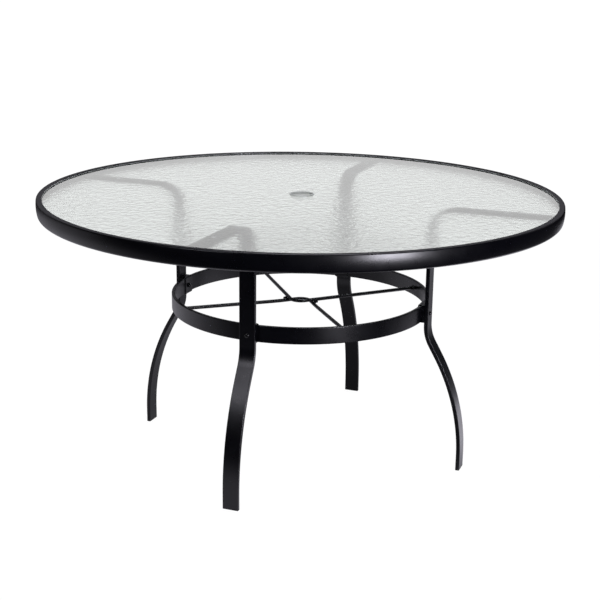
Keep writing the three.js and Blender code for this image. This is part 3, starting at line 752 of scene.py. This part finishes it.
def weld_surface(azimuth, skew, height):
    """A fillet weld bead round a rod's end: a hollow quarter arc from the rod to the ring's wall.

    At angle a of the arc the bead's radius about the rod is 9 - 4.5 cos a, and its distance from the
    wall, measured along the rod, is 4.5 - 4.5 sin a. The wall is the ring's inner circle. Ripples
    0.22 mm high, 13 of them, run round the bead and fade at both its edges.
    """
    sides, foot, hollow = 52, 9.0, 4.5
    step = np.linspace(0, QUARTER, 9)[:, None]
    round_rod = np.arange(sides) * 2 * math.pi / sides
    ripple = 0.22 * np.sin(13 * round_rod + 2 * step) * np.sin(2 * step)
    radius = foot - hollow * np.cos(step) + ripple
    off = hollow - hollow * np.sin(step) + ripple
    inside, above, buried = (np.full((1, sides), value) for value in (4.2, 4.6, -1.0))
    radius = np.vstack([inside, radius, radius[-1:] - 0.5])
    off = np.vstack([above, off, buried])
    c, s = math.cos(azimuth + skew), math.sin(azimuth + skew)
    axis, side = np.array([c, s, 0]), np.array([-s, c, 0])
    end = RING_INSIDE * np.array([math.cos(azimuth), math.sin(azimuth), 0]) + [0, 0, height]
    flat = end + radius[..., None] * (np.cos(round_rod)[:, None] * side + np.sin(round_rod)[:, None] * UP)
    gap = RING_INSIDE - np.hypot(flat[..., 0], flat[..., 1])
    grid = flat + (gap - off)[..., None] * axis
    return grid.reshape(-1, 3), tube_faces(len(grid), sides)


skew = math.asin(EYE_RADIUS / RING_INSIDE)
for number in range(4):
    azimuth = ROD_TURN + number * QUARTER
    side = 1 if number in (0, 2) else -1
    points, faces = weld_surface(azimuth, side * skew, ROD_HEIGHT)
    mesh_piece(f"rod_weld_{number + 1}", points, faces, *COAT)


def crossing_web_surface(azimuth):
    """Weld metal that fills the outer corner where the rods cross, with a hollow front edge.

    Seen from above it lies between the two rods' middle lines and a circle of 8.6 mm about a point
    11 mm from both. Its half thickness is 1.2 mm at the front edge and grows to 4.4 mm, as the
    square of the way to the rods.
    """
    away, front = 11.0, 8.6
    angle = np.linspace(2 * QUARTER, 3 * QUARTER, 15)[:, None]
    far = away / np.maximum(np.abs(np.cos(angle)), np.abs(np.sin(angle)))
    share = np.concatenate([np.linspace(1, 0, 8), np.linspace(0, 1, 8)])
    level = np.concatenate([np.ones(8), -np.ones(8)])
    reach = front + (far - front) * share
    x, y = away + reach * np.cos(angle), away + reach * np.sin(angle)
    z = np.broadcast_to((ROD_HEIGHT + LOWER_ROD_HEIGHT) / 2 + level * (1.2 + 3.2 * share**2), x.shape)
    grid = np.stack([x, y, z], -1)
    corner = about_z(grid.reshape(-1, 3), azimuth - QUARTER / 2)
    shift = EYE_RADIUS * math.sqrt(2) * np.array([math.cos(azimuth), math.sin(azimuth), 0])
    return corner + shift, tube_faces(*x.shape)


for name, azimuth in (("left", ROD_TURN + 1.5 * QUARTER), ("right", ROD_TURN - QUARTER / 2)):
    points, faces = crossing_web_surface(azimuth)
    mesh_piece(f"rod_cross_weld_{name}", points, faces, *COAT)


# Floor, studio and camera

# Places in the studio are metres to the right, away and up from the table's middle on the floor,
# as the camera sees them. It stands 3.16 m in front, and the table is turned 24 degrees to it.
TURN = math.radians(24.049)

# The lamps and what reflections see have a slight violet cast, which the black coat shows
COOL = (0.97, 0.95, 1.06, 1.0)
WHITE = (1.0, 1.0, 1.0, 1.0)

# Rows of a light pattern: how it is measured, the axis or place, two distances, the light at each,
# and what the row does to the light so far
# Painted light and shade on the floor, seen only in reflections: a pool of painted light behind the table
# that fades to the front, the right and the far end, a painted shadow under the table, and painted bright
# patches on the left, at the far right and by the feet
PAINTED_FLOOR_LIGHT = (
    ("DOT_PRODUCT", (0, 1), -1.1, 0.5, 0.02, 0.4, "MULTIPLY"),
    ("DOT_PRODUCT", (1, 0), 1.2, 2.2, 1.0, 0.1, "MULTIPLY"),
    ("DOT_PRODUCT", (0, 1), 2.2, 3.2, 1.0, 0.12, "MULTIPLY"),
    # Painted shadow of the table on the floor under it
    ("DISTANCE", (0.15, 0.3), 0.35, 0.9, 0.6, 1.0, "MULTIPLY"),
    # Painted bright patches of light on the floor
    ("DISTANCE", (-1.5, 0.2), 0.2, 1.8, 0.55, 0.0, "ADD"),
    ("DISTANCE", (1.5, 2.3), 0.2, 0.9, 0.85, 0.0, "ADD"),
    ("DISTANCE", (0.85, 0.15), 0.25, 0.7, 1.5, 0.0, "ADD"),
    ("DISTANCE", (-0.3, -0.5), 0.1, 0.6, 0.7, 0.0, "ADD"),
)
PAPER_LIGHT = (("DOT_PRODUCT", (0, 1), 1.5, 5.0, 1.16, 1.25, "MULTIPLY"),)
ROOM_LIGHT = (
    ("DOT_PRODUCT", (0, 1), -0.2, 0.95, 0.02, 0.5, "MULTIPLY"),
    ("DOT_PRODUCT", (0, 0, 1), 0.23, 0.33, 1.0, 0.25, "MULTIPLY"),
    ("DOT_PRODUCT", (0, 0, 1), 0.16, 0.25, 0.1, 1.0, "MULTIPLY"),
)


def seen(right, away, up=0.0):
    """A studio place or direction in the table's own axes."""
    return Matrix.Rotation(-TURN, 3, "Z") @ Vector((right, away, up))


def light_pattern(tree, point, rows):
    """Light at a point of the floor, or from a direction of the room, worked out row by row from 1.

    A row measures the point along an axis or from a place. Between its two distances t runs from
    0 to 1 and the light changes by the smooth step 3 t t - 2 t t t.
    """
    light = 1.0
    for measure, where, near, far, first, last, change in rows:
        reach = add(tree, "VectorMath", {0: point, 1: seen(*where)}, operation=measure).outputs["Value"]
        span = {"Value": reach, "From Min": near, "From Max": far, "To Min": first, "To Max": last}
        step = add(tree, "MapRange", span, interpolation_type="SMOOTHSTEP").outputs["Result"]
        light = add(tree, "Math", {0: light, 1: step}, operation=change).outputs[0]
    return light


def studio_floor():
    """White paper floor. The camera, directly or through the glass, sees it white with a share of
    the table's shadow.

    Reflections see painted light: a pool of painted light behind the table that fades towards the
    front, the right and the far end, a painted shadow under the table, and painted bright patches
    on the left, at the far right and by the feet.
    """
    material, tree = blank_material("white_studio_floor")
    ray = add(tree, "LightPath").outputs
    through, mirrored = ray["Is Transmission Ray"], ray["Is Glossy Ray"]
    shown = add(tree, "Math", {0: ray["Is Camera Ray"], 1: through}, operation="MAXIMUM").outputs[0]
    place = add(tree, "TexCoord").outputs["Object"]
    # The painted light and shadow of the floor for reflections, and the plain white paper for the camera
    painted_floor_glow, paper = light_pattern(tree, place, PAINTED_FLOOR_LIGHT), light_pattern(tree, place, PAPER_LIGHT)
    strength = add(tree, "Mix", {"Factor": shown, "A": painted_floor_glow, "B": paper}).outputs["Result"]
    either = add(tree, "Math", {0: shown, 1: mirrored}, operation="MAXIMUM").outputs[0]
    share = add(tree, "Math", {0: either, 1: 0.84}, operation="MULTIPLY").outputs[0]
    # Painted shade: the lamp-lit share is pale to the camera and painted dark grey to reflections
    pale, dark = colour("#C8C8C8"), colour("#202020")
    camera_pale_reflected_shade = add(tree, "Mix", {"Factor": mirrored, "A": pale, "B": dark}, data_type="RGBA")
    lit = add(tree, "BsdfDiffuse", {"Color": camera_pale_reflected_shade.outputs["Result"]})
    tint = add(tree, "Mix", {"Factor": shown, "A": COOL, "B": WHITE}, data_type="RGBA")
    # The floor glows: plain white to the camera, and with the painted light and shadow to reflections
    white = add(tree, "Emission", {"Color": tint.outputs["Result"], "Strength": strength})
    both = add(tree, "MixShader", {0: share, 1: lit.outputs[0], 2: white.outputs[0]})
    add(tree, "OutputMaterial", {"Surface": both.outputs[0]})
    mesh = bpy.data.meshes.new("floor")
    mesh.from_pydata([(-30, -30, 0), (30, -30, 0), (30, 30, 0), (-30, 30, 0)], [], [(0, 1, 2, 3)])
    mesh.materials.append(material)
    floor = bpy.data.objects.new("floor", mesh)
    bpy.context.scene.collection.objects.link(floor)


def shown_to_camera(tree, ray):
    """1 for what the camera sees directly or through the glass, 0 for light and reflections."""
    direct = add(tree, "Math", {0: ray["Glossy Depth"], 1: 0.5}, operation="LESS_THAN").outputs[0]
    through = add(tree, "Math", {0: ray["Is Transmission Ray"], 1: direct}, operation="MULTIPLY").outputs[0]
    return add(tree, "Math", {0: ray["Is Camera Ray"], 1: through}, operation="MAXIMUM").outputs[0]


def studio_world():
    """White to the camera and through the glass.

    The glass's polished face reflects white at 1.2 and lets in 0.2, because its rays are the only
    ones that the renderer calls singular. Rougher reflections see a room that is brightest behind
    the table, in a band a little above the floor, and dark above, in front and along its skirting.
    What goes through the glass's rippled face meets 0.15 of that room.
    """
    world = bpy.data.worlds.new("studio")
    bpy.context.scene.world = world
    world.use_nodes = True
    tree = world.node_tree
    tree.nodes.clear()
    ray = add(tree, "LightPath").outputs
    through, polished = ray["Is Transmission Ray"], ray["Is Singular Ray"]
    shown = shown_to_camera(tree, ray)
    way = add(tree, "TexCoord").outputs["Generated"]
    room = light_pattern(tree, way, ROOM_LIGHT)
    under_glass = add(tree, "Math", {0: through, 1: -0.85, 2: 1.0}, operation="MULTIPLY_ADD").outputs[0]
    room = add(tree, "Math", {0: room, 1: under_glass}, operation="MULTIPLY").outputs[0]
    face = add(tree, "Math", {0: through, 1: -1.0, 2: 1.2}, operation="MULTIPLY_ADD").outputs[0]
    reflected = add(tree, "Mix", {"Factor": polished, "A": room, "B": face}).outputs["Result"]
    strength = add(tree, "Mix", {"Factor": shown, "A": reflected, "B": 1.0}).outputs["Result"]
    untinted = add(tree, "Math", {0: shown, 1: polished}, operation="MAXIMUM").outputs[0]
    tint = add(tree, "Mix", {"Factor": untinted, "A": COOL, "B": WHITE}, data_type="RGBA")
    background = add(tree, "Background", {"Color": tint.outputs["Result"], "Strength": strength})
    add(tree, "OutputWorld", {"Surface": background.outputs[0]})


def softbox(name, place, target, width, height, power):
    """A soft lamp of a given width and height at one place, aimed at another."""
    lamp = bpy.data.lights.new(name, "AREA")
    lamp.shape, lamp.size, lamp.size_y, lamp.energy = "RECTANGLE", width, height, power
    lamp.color = COOL[:3]
    light = bpy.data.objects.new(name, lamp)
    bpy.context.scene.collection.objects.link(light)
    light.location = seen(*place)
    light.rotation_mode = "QUATERNION"
    light.rotation_quaternion = (seen(*place) - seen(*target)).to_track_quat("Z", "Y")


# The camera that the table's outlines in the photo fit: metres, radians and pixels
DISTANCE, EYE_HEIGHT = 3.1590, 1.3206
YAW, PITCH, ROLL = 0.023084, 0.294414, 0.019342
FOCAL_PIXELS, AXIS_X, AXIS_Y = 1211.37, 326.57, 318.66
PHOTO_SIDE, SENSOR_WIDTH = 600, 36.0


def photo_camera():
    """Camera from the fitted place, yaw, downward pitch and roll, with the shift of the cropped photo."""
    forward = Vector((math.sin(YAW) * math.cos(PITCH), math.cos(YAW) * math.cos(PITCH), -math.sin(PITCH)))
    level = Vector((math.cos(YAW), -math.sin(YAW), 0))
    up = level.cross(forward)
    right = math.cos(ROLL) * level + math.sin(ROLL) * up
    above = -math.sin(ROLL) * level + math.cos(ROLL) * up
    facing = Matrix((right, above, -forward)).transposed().to_4x4()
    data = bpy.data.cameras.new("photo_camera")
    data.sensor_width = SENSOR_WIDTH
    data.lens = FOCAL_PIXELS / PHOTO_SIDE * SENSOR_WIDTH
    centre = (PHOTO_SIDE - 1) / 2
    data.shift_x = (centre - AXIS_X) / PHOTO_SIDE
    data.shift_y = (AXIS_Y - centre) / PHOTO_SIDE
    camera = bpy.data.objects.new("photo_camera", data)
    bpy.context.scene.collection.objects.link(camera)
    place = Matrix.Translation((0, -DISTANCE, EYE_HEIGHT))
    camera.matrix_world = Matrix.Rotation(-TURN, 4, "Z") @ place @ facing
    bpy.context.scene.camera = camera


studio_floor()
studio_world()
softbox("front_left_softbox", (-2.15, -2.63, 2.1), (-0.15, -0.4, 0.3), 1.1, 1.1, 18)
softbox("front_right_strip", (1.42, -2.32, 0.64), (0.22, -0.65, 0.69), 0.70, 0.78, 56)
softbox("overhead_softbox", (0.3, 1.0, 3.6), (0, 0, 0.6), 2.0, 2.0, 55)
photo_camera()

bpy.context.scene.view_settings.view_transform = "Standard"
